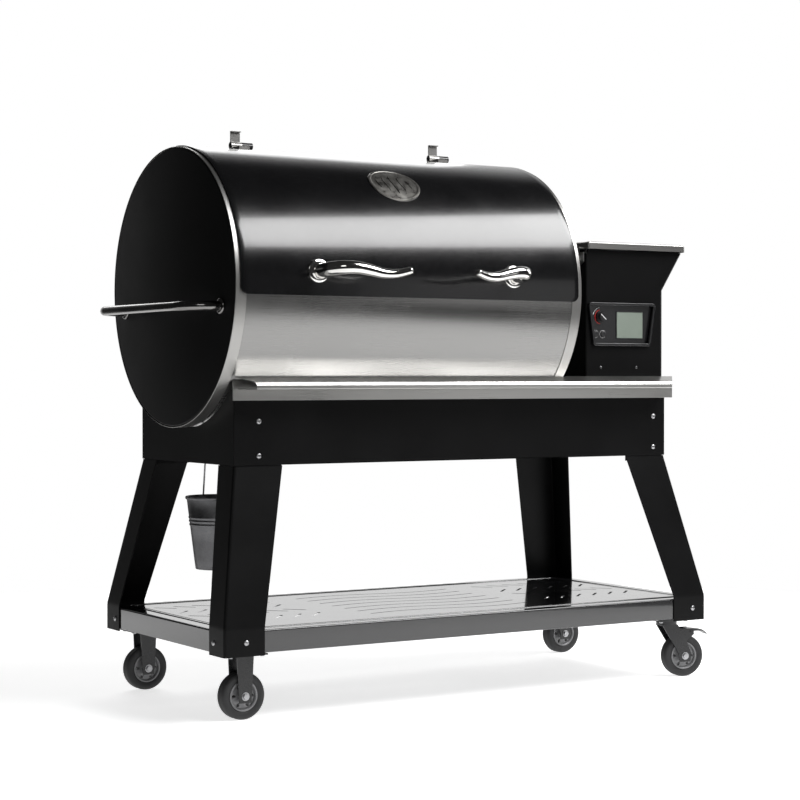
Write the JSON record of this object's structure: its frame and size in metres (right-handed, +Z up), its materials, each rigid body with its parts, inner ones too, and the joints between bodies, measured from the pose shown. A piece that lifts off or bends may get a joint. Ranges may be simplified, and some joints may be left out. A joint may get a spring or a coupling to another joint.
{
  "type": "pellet smoker grill",
  "caption": "Horizontal barrel smoker with a hinged lid and side pellet hopper on a splayed-leg cart with casters, a bottom shelf and a hanging grease bucket.",
  "frame": {"origin": "on the floor under the middle of the whole outline", "axes": "+X to the right along the barrel, towards the hopper; +Y to the back; +Z up"},
  "size_m": [1.3915, 0.7779, 1.282],
  "materials": {
    "brushed_stainless": "brushed along its length",
    "black_enamel": "gloss",
    "satin_black_steel": "satin powder coat",
    "polished_steel": "polished",
    "black_hinge_steel": "semi gloss",
    "caster_zinc": "zinc plated, darkened",
    "cooking_steel": "satin",
    "sheet_steel": "mill",
    "galvanised_steel": "dull galvanised",
    "black_plastic": "fine texture",
    "screen_glass": "gloss",
    "tyre_rubber": "matt"
  },
  "bodies": {
    "grill": {"barrel_shell": "brushed_stainless", "barrel_bands": "brushed_stainless", "end_cap_left": "satin_black_steel", "end_cap_right": "satin_black_steel", "hinge_leaves_barrel": "black_hinge_steel", "side_handle": "polished_steel", "exhaust_hood": "satin_black_steel", "cooking_grate_left": "cooking_steel", "cooking_grate_right": "cooking_steel", "inside_rails": "cooking_steel", "grease_tray": "sheet_steel", "heat_deflector": "sheet_steel", "fire_pot": "cooking_steel", "igniter_rod": "sheet_steel", "temperature_probe": "brushed_stainless", "auger_tube": "sheet_steel", "auger_motor": "sheet_steel", "fan_housing": "black_plastic", "drip_spout": "sheet_steel", "hopper_box": "satin_black_steel", "hopper_chute": "sheet_steel", "hopper_guard": "sheet_steel", "hopper_lid_brackets": "brushed_stainless", "control_bezel": "black_plastic", "control_panel": "black_plastic", "control_screen": "screen_glass", "power_inlet": "black_plastic", "apron_front": "satin_black_steel", "apron_back": "satin_black_steel", "apron_ends": "satin_black_steel", "leg_front_left": "satin_black_steel", "leg_front_right": "satin_black_steel", "leg_rear_left": "satin_black_steel", "leg_rear_right": "satin_black_steel", "bottom_shelf": "satin_black_steel", "front_ledge": "brushed_stainless", "screws": "caster_zinc", "caster_mounts": "caster_zinc"},
    "lid": {"lid_skin": "black_enamel", "lid_handle_left": "polished_steel", "lid_handle_right": "polished_steel", "lid_badge": "polished_steel", "hinge_leaves_lid": "black_hinge_steel"},
    "hopper_lid": {"hopper_lid": "brushed_stainless"},
    "bail": {"bucket_bail": "galvanised_steel"},
    "bucket": {"grease_bucket": "galvanised_steel"},
    "knob": {"control_knob": "black_plastic"},
    "button_left": {"control_button_left": "black_plastic"},
    "button_right": {"control_button_right": "black_plastic"},
    "auger": {"auger_screw": "sheet_steel"},
    "fan": {"fan_impeller": "black_plastic"},
    "wheel_front_left": {"wheel_front_left": "tyre_rubber"},
    "wheel_rear_left": {"wheel_rear_left": "tyre_rubber"},
    "caster_front": {"caster_fork_front_right": "caster_zinc"},
    "caster_rear": {"caster_fork_rear_right": "caster_zinc"},
    "wheel_front_right": {"wheel_front_right": "tyre_rubber"},
    "wheel_rear_right": {"wheel_rear_right": "tyre_rubber"},
    "brake_front": {"brake_pedal_front_right": "black_hinge_steel"},
    "brake_rear": {"brake_pedal_rear_right": "black_hinge_steel"}
  },
  "joints": [
    {"name": "lid_hinge", "type": "hinge", "parent": "grill", "child": "lid", "pos_m": [0, 0.05762, 1.25], "axis": [-1, 0, 0], "range_deg": [0, 125]},
    {"name": "hopper_lid_hinge", "type": "hinge", "parent": "grill", "child": "hopper_lid", "pos_m": [0.3495, 0, 1.009], "axis": [0, -1, 0], "range_deg": [0, 90]},
    {"name": "bail_swing", "type": "hinge", "parent": "grill", "child": "bail", "pos_m": [-0.505, 0.01537, 0.563], "axis": [1, 0, 0], "range_deg": [-15, 15]},
    {"name": "bucket_tilt", "type": "hinge", "parent": "bail", "child": "bucket", "pos_m": [-0.505, 0.01537, 0.453], "axis": [0, 1, 0], "range_deg": [-20, 20]},
    {"name": "knob_turn", "type": "hinge", "parent": "grill", "child": "knob", "pos_m": [0.404, -0.19163, 0.87], "axis": [0, -1, 0], "range_deg": [-150, 150]},
    {"name": "button_left_press", "type": "slide", "parent": "grill", "child": "button_left", "axis": [0, 1, 0], "range_m": [0, 0.0015], "stiffness_N_per_m": 900},
    {"name": "button_right_press", "type": "slide", "parent": "grill", "child": "button_right", "axis": [0, 1, 0], "range_m": [0, 0.0015], "stiffness_N_per_m": 900},
    {"name": "auger_spin", "type": "hinge", "parent": "grill", "child": "auger", "pos_m": [-0.1095, 0.03712, 0.672], "axis": [1, 0, 0], "continuous": true},
    {"name": "fan_spin", "type": "hinge", "parent": "grill", "child": "fan", "pos_m": [0.457, -0.11288, 0.616], "axis": [1, 0, 0], "continuous": true},
    {"name": "wheel_front_left_spin", "type": "hinge", "parent": "grill", "child": "wheel_front_left", "pos_m": [-0.5645, -0.20563, 0.0508], "axis": [0, 1, 0], "continuous": true},
    {"name": "wheel_rear_left_spin", "type": "hinge", "parent": "grill", "child": "wheel_rear_left", "pos_m": [-0.5645, 0.27987, 0.0508], "axis": [0, 1, 0], "continuous": true},
    {"name": "caster_front_swivel", "type": "hinge", "parent": "grill", "child": "caster_front", "pos_m": [0.5955, -0.20563, 0.138], "axis": [0, 0, 1], "continuous": true},
    {"name": "wheel_front_right_spin", "type": "hinge", "parent": "caster_front", "child": "wheel_front_right", "pos_m": [0.63414, -0.21598, 0.0508], "axis": [0.2588, 0.9659, 0], "continuous": true},
    {"name": "brake_front_press", "type": "hinge", "parent": "caster_front", "child": "brake_front", "pos_m": [0.64959, -0.22012, 0.1098], "axis": [0.2588, 0.9659, 0], "range_deg": [0, 12]},
    {"name": "caster_rear_swivel", "type": "hinge", "parent": "grill", "child": "caster_rear", "pos_m": [0.5955, 0.27987, 0.138], "axis": [0, 0, 1], "continuous": true},
    {"name": "wheel_rear_right_spin", "type": "hinge", "parent": "caster_rear", "child": "wheel_rear_right", "pos_m": [0.6355, 0.27987, 0.0508], "axis": [0, 1, 0], "continuous": true},
    {"name": "brake_rear_press", "type": "hinge", "parent": "caster_rear", "child": "brake_rear", "pos_m": [0.6515, 0.27987, 0.1098], "axis": [0, 1, 0], "range_deg": [0, 12]}
  ]
}
